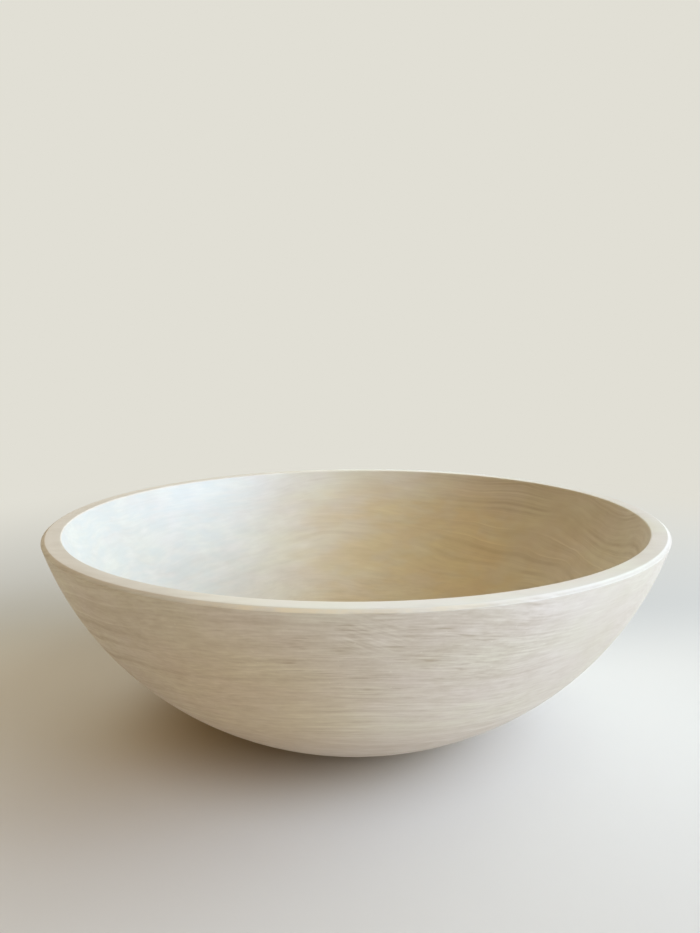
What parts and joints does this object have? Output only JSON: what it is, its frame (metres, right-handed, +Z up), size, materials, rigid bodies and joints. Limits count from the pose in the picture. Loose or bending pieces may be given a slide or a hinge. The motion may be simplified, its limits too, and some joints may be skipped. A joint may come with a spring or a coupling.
{
  "type": "wooden serving bowl",
  "caption": "Wide, shallow round serving bowl turned from solid pale hardwood, with a curved wall, a level bevelled rim and a flat foot.",
  "frame": {"origin": "middle of the foot, on the plane that the bowl stands on", "axes": "+Z up along the turning axis, from the foot to the open rim; +X to the right and +Y away from the viewer in the picture; the wood's grain runs along X"},
  "size_m": [0.3799, 0.38, 0.128],
  "materials": {
    "pale_hardwood": "pale, whitened close-grained hardwood, sanded smooth, matt to satin"
  },
  "bodies": {
    "root": {"bowl": "pale_hardwood"}
  },
  "joints": []
}
